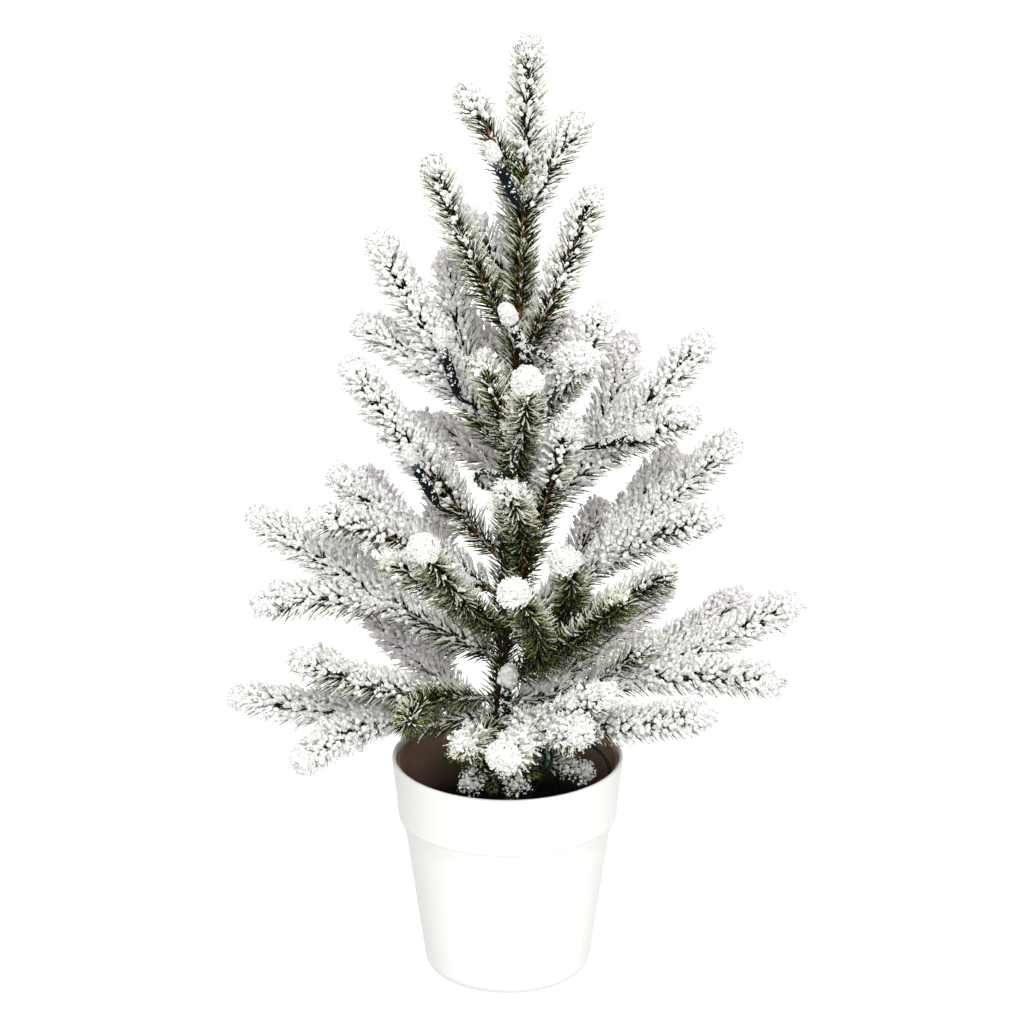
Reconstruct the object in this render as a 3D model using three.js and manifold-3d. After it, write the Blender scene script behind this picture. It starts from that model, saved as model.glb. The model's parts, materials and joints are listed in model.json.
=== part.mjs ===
// Artificial tabletop tree: flocked wire branches on a leaning trunk, set in a plant pot
// that also holds the battery box of its string of mini lights.
// Millimetres, +Z up. The origin is the centre of the pot's underside; the front faces -Y.
import * as THREE from 'three';
import { mergeVertices } from 'three/addons/utils/BufferGeometryUtils.js';
import Module from 'manifold-3d';

const wasm = await Module();
wasm.setup();

// ---------------------------------------------------------------- driving dimensions

const GAP = 0.3;              // left between pieces that touch
const POT_HEIGHT = 141;
const POT_FOOT_R = 50;        // outside radius at the foot
const POT_TAPER = 0.141;      // radius gained per mm of height
const POT_WALL = 1.6;
const STEP_FROM = 92.5;       // the wall starts to swell out to the rim band
const BAND_FROM = 102.5;      // lower edge of the rim band
const BAND_R = [67.4, 71];    // outside radius at the band's lower edge and at the lip
const LINER_WALL = 1.2;
const LINER_TOP = 138;
const POT_SIDES = 40;

const WEIGHT_FROM = 4.8;      // the cement plug stands on the liner's floor
const WEIGHT_TOP = 38;

const TRUNK_R = 4;
const TRUNK_FOOT = new THREE.Vector3(-12, 0, 20);
const TRUNK_TOP = new THREE.Vector3(7, 0, 419);
const TRUNK_HOLE_R = TRUNK_R + GAP + 0.2;

const STEM_R = 1.8;           // twisted wire of a branch, with its tape
const LEADER_STEM_R = 2.6;
const ROOT_OFFSET = 6.3;      // from the trunk's axis to a branch's bending point
const BARE_STEM = 26;         // stem without foliage, measured from the bending point
const FOLIAGE_R = 8;          // solid heart of a sprig; its needles stand out further
const SPRIG_SIDES = 7;
const BEND_STEPS = 24;        // places along a sprig where its cross direction is worked out

const CASE = { width: 64, depth: 19, height: 59, wall: 1.5 };
const CASE_AT = new THREE.Vector3(4, -28.5, WEIGHT_TOP + GAP);
const COVER_THICK = 1.5;
const CELL = { radius: 7.1, length: 49, nub: 1.3 };
const CELL_BAY = 46.4;        // inside width of the bay that holds the three cells

const SOCKET_LENGTH = 26;
const WIRE_R = 1.1;

// ---------------------------------------------------------------- the tree's layout

// root: height of the bending point; sag: how far the stem dips below a straight line.
// Each tip is [x, y, z], and a side sprig adds the share of the main stem at which it starts.
const BRANCHES = [
  { name: 'leader', root: 424, sag: 0,
    tips: [[13, 0, 598], [-29, -12, 569, 0.36], [48, 12, 546, 0.32]] },
  { name: 'branch_01', root: 416, sag: 14, tips: [[-46, -14, 529]] },
  { name: 'branch_02', root: 402, sag: 8, tips: [[52, -12, 509]] },
  { name: 'branch_03', root: 388, sag: 6, tips: [[4, 52, 500], [-30, 38, 478, 0.35]] },
  { name: 'branch_04', root: 338, sag: 12,
    tips: [[-79, -2, 478], [-92, 22, 414, 0.24], [-36, 50, 450, 0.10]] },
  { name: 'branch_05', root: 350, sag: 12, tips: [[60, -24, 439], [45, -80, 426, 0.20]] },
  { name: 'branch_06', root: 318, sag: 10, tips: [[12, -90, 410], [-18, -42, 417, 0.22]] },
  { name: 'branch_07', root: 336, sag: 10,
    tips: [[8, 88, 432], [-38, 78, 400, 0.35], [44, 72, 398, 0.35]] },
  { name: 'branch_08', root: 272, sag: 8, tips: [[-96, -22, 407], [-55, 48, 345, 0.20]] },
  { name: 'branch_09', root: 290, sag: 10,
    tips: [[122, 8, 411], [114, -32, 373, 0.34], [73, 58, 394, 0.30]] },
  { name: 'branch_10', root: 244, sag: 12, tips: [[37, -52, 380], [-2, -80, 344, 0.20]] },
  { name: 'branch_11', root: 222, sag: 10,
    tips: [[140, 8, 348], [128, -34, 311, 0.34], [102, 50, 322, 0.34]] },
  { name: 'branch_12', root: 248, sag: 10, tips: [[-107, -8, 331], [-118, -54, 318, 0.30]] },
  { name: 'branch_13', root: 262, sag: 10,
    tips: [[10, 120, 348], [-48, 104, 322, 0.35], [62, 98, 318, 0.35]] },
  { name: 'branch_14', root: 206, sag: 12,
    tips: [[-157, 8, 299], [-156, -16, 245, 0.38], [-110, 60, 262, 0.36]] },
  { name: 'branch_15', root: 224, sag: 10, tips: [[-51, -108, 318], [-76, -66, 296, 0.35]] },
  { name: 'branch_16', root: 194, sag: 10, tips: [[72, -108, 286], [4, -120, 293, 0.22]] },
  { name: 'branch_17', root: 216, sag: 14, tips: [[101, -44, 281], [34, -80, 300, 0.22]] },
  { name: 'branch_18', root: 212, sag: 10, tips: [[100, 100, 292], [58, 62, 286, 0.25]] },
  { name: 'branch_19', root: 200, sag: 10, tips: [[-92, 106, 290], [-36, 130, 272, 0.35]] },
  { name: 'branch_20', root: 180, sag: 18, tips: [[-131, -50, 226], [-57, -104, 203, 0.20]] },
  { name: 'branch_21', root: 164, sag: 10,
    tips: [[-171, -8, 184], [-126, -72, 164, 0.34], [-120, 48, 188, 0.34]] },
  { name: 'branch_22', root: 168, sag: 8, tips: [[-27, -112, 192]] },
  { name: 'branch_23', root: 172, sag: 10,
    tips: [[46, -110, 200], [-3, -132, 190, 0.24], [64, -84, 218, 0.34]] },
  { name: 'branch_24', root: 176, sag: 26,
    tips: [[180, 8, 242], [167, -44, 206, 0.36], [147, 54, 226, 0.34], [92, -6, 222, 0.22]] },
  { name: 'branch_25', root: 160, sag: 8, tips: [[124, -82, 202]] },
  { name: 'branch_26', root: 166, sag: 12, tips: [[102, 114, 210], [40, 140, 196, 0.35]] },
  { name: 'branch_27', root: 158, sag: 12, tips: [[-96, 114, 204], [-30, 134, 186, 0.35]] },
];

// Where each mini light's socket starts and the point its lamp aims at.
const LIGHTS = [
  { name: 'light_1', foot: [6, -20, 500], aim: [-14, -25, 544] },
  { name: 'light_2', foot: [-30, -17, 382], aim: [-40, -19, 417] },
  { name: 'light_3', foot: [14, -20, 400], aim: [0, -24, 434] },
  { name: 'light_4', foot: [-42, -29, 316], aim: [-62, -35, 356] },
  { name: 'light_5', foot: [53, -16, 348], aim: [77, -31, 361] },
  { name: 'light_6', foot: [-3.5, -22, 167], aim: [1, -24, 207] },
  { name: 'light_7', foot: [18, 84, 322], aim: [24, 104, 356] },
  { name: 'light_8', foot: [-80, 80, 246], aim: [-98, 98, 280] },
];

// The string's main wire climbs the trunk: [height, direction round the trunk in degrees].
const WIRE_CLIMB = [
  [146, -20], [150, -45], [155, -75], [160, -105], [165, -135], [170, -163], [175, 169],
  [180, 140], [186, 112], [192, 87], [204, 62], [214, 95], [224, 130], [236, 122], [248, 95],
  [255, 67], [262, 42], [276, 42], [290, 72], [304, 105], [318, 138], [332, 128], [346, 134],
  [353, 112], [360, 88], [367, 63], [374, 42], [386, 28], [398, 50],
];

// Two parallel leads, from the battery box up to the string at the foot of the foliage.
const LEAD_ROUTES = {
  battery_lead: [
    [8, -20, 97.6], [8, -20.1, 102], [7.9, -20.8, 108], [7.8, -21.8, 114], [8.2, -22.6, 120],
    [10.4, -23.1, 125.6], [13.8, -23.2, 130.6], [17.4, -22.7, 135.2], [20.8, -21.3, 139.8],
    [23, -18.4, 144], [22.4, -14, 147.2], [18.4, -10.4, 148.8], [12.6, -7.8, 149.4],
    [6.4, -5.6, 149.2],
  ],
  battery_lead_2: [
    [11, -20, 97.6], [11, -20.1, 102], [10.9, -20.7, 108], [10.9, -21.6, 114],
    [11.5, -22.2, 119], [13.8, -22.6, 124], [17, -22.6, 128.8], [20.6, -22.2, 133.4],
    [24.2, -20.8, 138.4], [26.8, -17.4, 143.6], [26, -11.8, 148.4], [20.6, -7.4, 151.2],
    [13.6, -5, 152.3], [6.6, -3.4, 152],
  ],
};

// A slack loop of the string: out to the pot's right side, down to the weight and back up.
const LOOP_ROUTE = [
  [1.2, 7.8, 149.2], [7, 9, 151.4], [15, 9.6, 152.8], [25, 8.6, 153], [37, 5, 151.6],
  [48, 0.5, 149], [56.5, -3.5, 144.5], [61.4, -6.5, 138.5], [62.6, -8.5, 131],
  [61.2, -9.5, 121], [58.6, -9, 110], [55.6, -7, 98], [52.2, -3.5, 84], [48.8, 1, 69],
  [45, 6.5, 55.5], [41.4, 13, 46], [37.4, 20, 41.4], [32.6, 25.5, 40.2], [27, 28, 40.2],
  [21.4, 26.6, 41.6], [18.6, 22, 46.4], [19.4, 17, 56], [22, 13.6, 68], [24.8, 11.4, 82],
  [27.4, 10, 96], [29.4, 9, 109], [30.4, 7.4, 121], [29.6, 5.4, 132], [26.2, 3.4, 141],
  [20, 2.2, 146.6], [11, 1, 148.6], [3.6, 0.4, 148.4],
];

// ---------------------------------------------------------------- materials

const paint = (color, roughness, metalness = 0) =>
  new THREE.MeshStandardMaterial({ color, roughness, metalness });

const MATERIALS = {
  pot: paint(0xf4f3f0, 0.35),
  liner: paint(0x6a584c, 0.6),
  cement: paint(0x8d8981, 0.95),
  trunk: paint(0x4a3524, 0.8),
  foliage: paint(0xdfe3dc, 0.95),
  lightSocket: paint(0x12261f, 0.45),
  lamp: paint(0xf2f4f6, 0.4),
  wire: paint(0x10281c, 0.5),
  case: paint(0x16181a, 0.5),
  cell: paint(0x9aa0a3, 0.3, 0.7),
  spring: paint(0xc9ccce, 0.25, 1),
};

// ---------------------------------------------------------------- shared helpers

const UP = new THREE.Vector3(0, 1, 0);
const tree = new THREE.Group();

function addMesh(name, geometry, material, position = new THREE.Vector3()) {
  const mesh = new THREE.Mesh(geometry, material);
  mesh.name = name;
  mesh.position.copy(position);
  tree.add(mesh);
  return mesh;
}

function toManifold(geometry) {
  const bare = geometry.clone();
  bare.deleteAttribute('normal');
  bare.deleteAttribute('uv');
  const merged = mergeVertices(bare, 1e-4);
  return new wasm.Manifold(new wasm.Mesh({
    numProp: 3,
    vertProperties: new Float32Array(merged.attributes.position.array),
    triVerts: new Uint32Array(merged.index.array),
  }));
}

function toGeometry(manifold) {
  const mesh = manifold.getMesh();
  const geometry = new THREE.BufferGeometry();
  geometry.setAttribute('position', new THREE.BufferAttribute(mesh.vertProperties, 3));
  geometry.setIndex(new THREE.BufferAttribute(mesh.triVerts, 1));
  geometry.computeVertexNormals();
  return geometry;
}

// A turned solid about +Z; points are [radius, height].
function turned(points, sides) {
  const profile = points.map(([r, z]) => new THREE.Vector2(r, z));
  return new THREE.LatheGeometry(profile, sides).rotateX(Math.PI / 2);
}

// A box given by its lowest and highest corners.
function block(low, high) {
  const size = high.map((value, axis) => value - low[axis]);
  const middle = high.map((value, axis) => (value + low[axis]) / 2);
  return new THREE.BoxGeometry(...size).translate(...middle);
}

// A round tube along a curve.
function tube(curve, radius, steps, sides = 8) {
  const section = new THREE.Shape();
  for (let i = 0; i < sides; i += 1) {
    const angle = (2 * Math.PI * i) / sides;
    const point = [radius * Math.cos(angle), radius * Math.sin(angle)];
    if (i === 0) section.moveTo(...point);
    else section.lineTo(...point);
  }
  return new THREE.ExtrudeGeometry(section, { steps, bevelEnabled: false, extrudePath: curve });
}

const smoothCurve = (points) =>
  new THREE.CatmullRomCurve3(points.map((point) => new THREE.Vector3(...point)));

function trunkPoint(height) {
  const share = (height - TRUNK_FOOT.z) / (TRUNK_TOP.z - TRUNK_FOOT.z);
  return new THREE.Vector3().lerpVectors(TRUNK_FOOT, TRUNK_TOP, share);
}

// ---------------------------------------------------------------- pot, liner and weight

const potWallAt = (z) => POT_FOOT_R + POT_TAPER * z;

function pot() {
  const inner = (z) => potWallAt(z) - POT_WALL;
  return turned([
    [0, 0], [POT_FOOT_R - 5, 0], [POT_FOOT_R - 1.4, 1.2], [potWallAt(4.5), 4.5],
    [potWallAt(STEP_FROM), STEP_FROM], [BAND_R[0], BAND_FROM],
    [BAND_R[1], POT_HEIGHT - 1.5], [BAND_R[1] - 0.8, POT_HEIGHT],
    [BAND_R[1] - 2, POT_HEIGHT], [BAND_R[1] - 2.6, POT_HEIGHT - 1.5],
    [BAND_R[0] - 1.8, BAND_FROM + 3], [inner(BAND_FROM), BAND_FROM + 0.5],
    [inner(4.5), 4.5], [POT_FOOT_R - 4, 3], [0, 3],
  ], POT_SIDES);
}

function liner() {
  const outer = (z) => potWallAt(z) - POT_WALL - GAP;
  const inner = (z) => outer(z) - LINER_WALL;
  const lip = BAND_R[1] - 2.6 - GAP - 0.4;
  return turned([
    [0, 3 + GAP], [POT_FOOT_R - 4.2, 3 + GAP], [outer(5.2), 5.2],
    [outer(BAND_FROM), BAND_FROM + 1.1], [BAND_R[0] - 2.3, BAND_FROM + 3.8], [lip, LINER_TOP],
    [lip - LINER_WALL, LINER_TOP], [BAND_R[0] - 2.3 - LINER_WALL, BAND_FROM + 4.4],
    [inner(BAND_FROM), BAND_FROM + 1.7], [inner(6), 6],
    [POT_FOOT_R - 5, WEIGHT_FROM - GAP], [0, WEIGHT_FROM - GAP],
  ], POT_SIDES);
}

function trunkRod(radius, from, to, sides) {
  const axis = new THREE.Vector3().subVectors(to, from);
  const rod = new THREE.CylinderGeometry(radius, radius, axis.length(), sides);
  const turn = new THREE.Quaternion().setFromUnitVectors(UP, axis.clone().normalize());
  const middle = new THREE.Vector3().lerpVectors(from, to, 0.5);
  return rod.applyQuaternion(turn).translate(middle.x, middle.y, middle.z);
}

function weight() {
  const wall = (z) => potWallAt(z) - POT_WALL - 2 * GAP - LINER_WALL;
  const plug = turned([
    [0, WEIGHT_FROM], [POT_FOOT_R - 5.6, WEIGHT_FROM], [wall(7.5), 7.5],
    [wall(WEIGHT_TOP - 1), WEIGHT_TOP - 1], [wall(WEIGHT_TOP) - 1.2, WEIGHT_TOP],
    [0, WEIGHT_TOP],
  ], 32);
  const hole = trunkRod(TRUNK_HOLE_R, trunkPoint(TRUNK_FOOT.z - GAP), trunkPoint(60), 16);
  return toGeometry(toManifold(plug).subtract(toManifold(hole)));
}

addMesh('pot', pot(), MATERIALS.pot);
addMesh('pot_liner', liner(), MATERIALS.liner);
addMesh('cement_weight', weight(), MATERIALS.cement);
addMesh('trunk', trunkRod(TRUNK_R, TRUNK_FOOT, TRUNK_TOP, 16), MATERIALS.trunk);

// ---------------------------------------------------------------- branches

// Radius along a sprig: bare wire, then a foliage body that narrows to a point.
function sprigRings(bareShare, stemRadius) {
  const along = (share) => bareShare + (1 - bareShare) * share;
  return [
    [0, stemRadius], [along(0), stemRadius + 0.4], [along(0.12), FOLIAGE_R * 0.85],
    [along(0.55), FOLIAGE_R], [along(0.86), FOLIAGE_R * 0.8], [along(0.96), FOLIAGE_R * 0.45],
  ];
}

// A turned body bent along a curve; rings are [share of the curve, radius].
function bentBody(curve, rings, roundRoot) {
  const length = curve.getLength();
  const rootRadius = rings[0][1];
  const profile = [
    ...(roundRoot
      ? [[-rootRadius / length, 0], [(-0.7 * rootRadius) / length, 0.7 * rootRadius]]
      : [[0, 0]]),
    ...rings,
    [1, 0],
  ];
  const points = profile.map(([share, r]) => new THREE.Vector2(r, share));
  const body = new THREE.LatheGeometry(points, SPRIG_SIDES);
  const frames = curve.computeFrenetFrames(BEND_STEPS, false);
  const position = body.attributes.position;
  const vertex = new THREE.Vector3();
  for (let i = 0; i < position.count; i += 1) {
    vertex.fromBufferAttribute(position, i);
    const share = THREE.MathUtils.clamp(vertex.y, 0, 1);
    const frame = Math.round(share * BEND_STEPS);
    const centre = curve.getPointAt(share);
    centre.addScaledVector(frames.tangents[0], Math.min(vertex.y, 0) * length);
    centre.addScaledVector(frames.normals[frame], vertex.x);
    centre.addScaledVector(frames.binormals[frame], -vertex.z);
    position.setXYZ(i, centre.x, centre.y, centre.z);
  }
  return body;
}

// The bending point of a branch: beside the trunk, on the side its main tip lies.
function branchRoot(spec) {
  const centre = trunkPoint(spec.root);
  if (spec.name === 'leader') return centre;
  const outward = new THREE.Vector3(...spec.tips[0].slice(0, 3)).sub(centre).setZ(0).normalize();
  return centre.addScaledVector(outward, ROOT_OFFSET);
}

function mainCurve(spec, root) {
  const tip = new THREE.Vector3(...spec.tips[0].slice(0, 3));
  const middle = new THREE.Vector3().lerpVectors(root, tip, 0.5);
  middle.z -= spec.sag;
  return new THREE.QuadraticBezierCurve3(root, middle, tip);
}

// A side sprig leaves the main stem along it, then turns to its own tip.
function sideCurve(main, tip, share) {
  const start = main.getPoint(share);
  const end = new THREE.Vector3(...tip);
  const reach = start.distanceTo(end);
  const middle = start.clone().addScaledVector(main.getTangent(share), 0.22 * reach);
  middle.addScaledVector(new THREE.Vector3().subVectors(end, start), 0.28);
  return new THREE.QuadraticBezierCurve3(start, middle, end);
}

function branch(spec) {
  const root = branchRoot(spec);
  const isLeader = spec.name === 'leader';
  const stem = isLeader ? LEADER_STEM_R : STEM_R;
  const main = mainCurve(spec, root);
  const length = main.getLength();
  const bare = isLeader ? 0.06 : BARE_STEM / length;
  let body = toManifold(bentBody(main, sprigRings(bare, stem), true));
  for (const [x, y, z, share] of spec.tips.slice(1)) {
    const side = sideCurve(main, [x, y, z], share);
    const sideBare = Math.max(0.06, (BARE_STEM - share * length) / side.getLength());
    body = body.add(toManifold(bentBody(side, sprigRings(sideBare, STEM_R), false)));
  }
  const local = toGeometry(body).translate(-root.x, -root.y, -root.z);
  addMesh(spec.name, local, MATERIALS.foliage, root);
}

BRANCHES.forEach(branch);

// ---------------------------------------------------------------- mini lights

const socketShape = () => new THREE.LatheGeometry([
  new THREE.Vector2(0, 0), new THREE.Vector2(2.2, 0), new THREE.Vector2(3.2, 5),
  new THREE.Vector2(3.2, 22), new THREE.Vector2(2.6, SOCKET_LENGTH),
  new THREE.Vector2(0, SOCKET_LENGTH),
], 8);

const lampShape = () => new THREE.LatheGeometry([
  new THREE.Vector2(0, 0), new THREE.Vector2(2.3, 0), new THREE.Vector2(2.8, 3),
  new THREE.Vector2(2.8, 10), new THREE.Vector2(1.6, 13.5), new THREE.Vector2(0, 15),
], 8);

for (const { name, foot, aim } of LIGHTS) {
  const start = new THREE.Vector3(...foot);
  const direction = new THREE.Vector3(...aim).sub(start).normalize();
  const turn = new THREE.Quaternion().setFromUnitVectors(UP, direction);
  const socket = addMesh(`${name}_socket`, socketShape(), MATERIALS.lightSocket, start);
  socket.quaternion.copy(turn);
  const lampFoot = start.clone().addScaledVector(direction, SOCKET_LENGTH + GAP);
  const lamp = addMesh(`${name}_lamp`, lampShape(), MATERIALS.lamp, lampFoot);
  lamp.quaternion.copy(turn);
}

// ---------------------------------------------------------------- wires

const climb = WIRE_CLIMB.map(([height, degrees]) => {
  const angle = THREE.MathUtils.degToRad(degrees);
  const reach = TRUNK_R + GAP + WIRE_R + 0.3;
  const centre = trunkPoint(height);
  return [centre.x + reach * Math.cos(angle), reach * Math.sin(angle), height];
});
addMesh('string_wire', tube(smoothCurve(climb), WIRE_R, 70), MATERIALS.wire);

for (const [name, route] of Object.entries(LEAD_ROUTES)) {
  addMesh(name, tube(smoothCurve(route), WIRE_R, 28), MATERIALS.wire);
}
addMesh('slack_loop', tube(smoothCurve(LOOP_ROUTE), WIRE_R, 78), MATERIALS.wire);

// ---------------------------------------------------------------- battery box

const { width, depth, height, wall } = CASE;
const caseLeft = -width / 2;
const bayLeft = caseLeft + wall;
const bayFoot = wall;
const bayTop = height - wall;

// Open at the front, with a bay for the cells and a narrow one for the switch.
function batteryCase() {
  const outer = toManifold(block([caseLeft, 0, 0], [-caseLeft, depth, height]));
  const cells = block([bayLeft, -1, bayFoot], [bayLeft + CELL_BAY, depth - wall, bayTop]);
  const switchBay = block([bayLeft + CELL_BAY + wall, -1, bayFoot],
    [-caseLeft - wall, depth - wall, bayTop]);
  const switchSlot = block([-caseLeft - wall - 7, depth - 11, height - 3],
    [-caseLeft - wall - 3, depth - 5, height + 1]);
  const hollow = toManifold(cells).add(toManifold(switchBay)).add(toManifold(switchSlot));
  return toGeometry(outer.subtract(hollow));
}

addMesh('battery_case', batteryCase(), MATERIALS.case, CASE_AT);

const coverAt = CASE_AT.clone();
coverAt.y -= COVER_THICK + GAP;
addMesh('battery_cover', block([caseLeft, 0, 0], [-caseLeft, COVER_THICK, height]),
  MATERIALS.case, coverAt);

const cellShape = () => turned([
  [0, 0], [CELL.radius - 0.6, 0], [CELL.radius, 0.6], [CELL.radius, CELL.length - 0.6],
  [CELL.radius - 0.6, CELL.length], [2.6, CELL.length], [2.4, CELL.length + CELL.nub],
  [0, CELL.length + CELL.nub],
], 14);

for (let i = 0; i < 3; i += 1) {
  const at = CASE_AT.clone();
  at.x += bayLeft + CELL_BAY * ((i + 0.5) / 3);
  at.y += CELL.radius + 0.8;
  at.z += bayFoot + 4.2;
  addMesh(`battery_cell_${i + 1}`, cellShape(), MATERIALS.cell, at);
}

// Contact plates under and over the cells; the lower one carries short cone springs.
function lowerContact() {
  let plate = toManifold(block([0.5, 1, 0], [CELL_BAY - 0.5, depth - wall - 1, 0.8]));
  for (let i = 0; i < 3; i += 1) {
    const spring = turned([[0, 0], [4, 0], [2.2, 3.4], [0, 3.4]], 12);
    const at = [CELL_BAY * ((i + 0.5) / 3), CELL.radius + 0.8, 0.2];
    plate = plate.add(toManifold(spring.translate(...at)));
  }
  return toGeometry(plate);
}

const lowerAt = CASE_AT.clone();
lowerAt.x += bayLeft;
lowerAt.z += bayFoot + GAP;
addMesh('contact_springs', lowerContact(), MATERIALS.spring, lowerAt);

const upperAt = lowerAt.clone();
upperAt.z = CASE_AT.z + bayTop - GAP - 0.8;
addMesh('contact_plate', block([0.5, 1, 0], [CELL_BAY - 0.5, depth - wall - 1, 0.8]),
  MATERIALS.spring, upperAt);

// The switch's slider: a thumb piece through the slot in the case's top, on a wider foot.
const sliderThumb = toManifold(block([-1.6, -2.4, 0], [1.6, 0, 4.4]));
const sliderFoot = toManifold(block([-2.8, -3.2, -0.8], [2.8, 0.8, 0.5]));
const sliderAt = CASE_AT.clone();
sliderAt.x += -caseLeft - wall - 5;
sliderAt.y += depth - 5.3;
sliderAt.z += height - 2.6;
addMesh('power_switch', toGeometry(sliderThumb.add(sliderFoot)), MATERIALS.case, sliderAt);

export default tree;
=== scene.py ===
"""The looks of a flocked artificial tabletop tree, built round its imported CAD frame.

Metres, +Z up. The origin is the centre of the pot's underside and the front faces -Y.
"""

import json
import math

import bmesh
import bpy
import numpy as np
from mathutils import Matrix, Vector


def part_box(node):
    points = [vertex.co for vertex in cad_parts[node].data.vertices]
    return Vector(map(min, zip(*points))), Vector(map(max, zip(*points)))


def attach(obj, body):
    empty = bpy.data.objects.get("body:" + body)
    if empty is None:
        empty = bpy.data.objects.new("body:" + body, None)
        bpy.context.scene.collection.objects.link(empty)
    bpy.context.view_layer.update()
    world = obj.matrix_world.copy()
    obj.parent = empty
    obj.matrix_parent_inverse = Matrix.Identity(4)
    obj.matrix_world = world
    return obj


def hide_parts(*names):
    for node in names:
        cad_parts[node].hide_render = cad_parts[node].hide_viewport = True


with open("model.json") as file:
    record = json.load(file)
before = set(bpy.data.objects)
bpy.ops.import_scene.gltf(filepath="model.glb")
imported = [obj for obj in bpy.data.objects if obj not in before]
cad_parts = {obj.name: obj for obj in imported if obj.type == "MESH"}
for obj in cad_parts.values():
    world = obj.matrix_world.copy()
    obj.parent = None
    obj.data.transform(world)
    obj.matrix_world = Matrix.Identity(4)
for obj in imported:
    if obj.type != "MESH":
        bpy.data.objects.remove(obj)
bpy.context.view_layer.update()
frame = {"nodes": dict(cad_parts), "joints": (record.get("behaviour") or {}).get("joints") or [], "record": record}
rng = np.random.default_rng(41)


def unit(v):
    return v / np.linalg.norm(v, axis=-1, keepdims=True)


def add_object(name, data):
    made = bpy.data.objects.new(name, data)
    bpy.context.scene.collection.objects.link(made)
    return made


# ---------------------------------------------------------------- driving dimensions

CAMERA_AIM = (0.0027, 0.0, 0.300)
CAMERA_DISTANCE = 3.0
CAMERA_ELEVATION = math.radians(20.5)
CAMERA_LENS = 174.7              # millimetres, on a 36 mm sensor

WIRE_D = 0.0022                  # light string wire
STEM_R = 0.0013                  # twisted wire of a sprig, with its tape
STEM_SHORT = 0.009               # a sprig's stem stops this far short of its end
NEEDLE_LENGTH = 0.0165
NEEDLE_WIDTH = 0.00100
NEEDLES_PER_METRE = 4000
BARE_START = 0.003               # needles begin this far from a branch's bending point
SIDE_START = 0.004               # and this far from the foot of a side sprig
TIP_MARGIN = 0.0088              # the last needles stand this far back from a sprig's end
TIP_NEEDLES = 60                 # extra needles that dome over a sprig's end
CAP_BACK = 0.0095                # the dome of flock is centred this far back from the end
OPEN_SPOT = (-0.010, 0.003)      # where the front needles are missing, from its middle
GOLDEN_ANGLE = math.radians(137.508)

SNOW_FROM = unit(np.array([-0.10, -0.42, 0.90]))   # where the flock was blown on from
SLIM_FROM = 0.30                 # a needle that caught this much flock gets a slim coat
LUMPY_FROM = 0.52                # one that caught this much gets a lumpy coat
SCANT = 0.17                     # how these two shift on a sprig that is flocked thinly
CRUMBS_FROM = 0.56               # one that caught this much carries crumbs
CRUMBS_PER_NEEDLE = 4

POT_FOOT_R = 0.050
POT_TAPER = 0.141                # radius gained per height
STEP_FROM = 0.0925               # the wall starts to swell out to the rim band
BAND_FROM = 0.1025               # lower edge of the rim band
BAND_R = (0.0674, 0.071)         # its radius at the lower edge and at the lip
POT_SIDES = 144

WORLD_STRENGTH = 1.00
WORLD_KEY = (0.10, -0.46, 0.24)  # brighter towards the front and above, by this much
WORLD_SIDE_DIM = 0.16            # darker towards both sides, by this much
KEY_TOWARDS = (-0.07, 0.87, -0.77)   # the way the soft sun shines
KEY_ANGLE = 36                   # degrees across, so that its shadows are soft
KEY_STRENGTH = 2.05
FLOOR_GLOW = 0.72

# ---------------------------------------------------------------- the tree's layout

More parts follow.
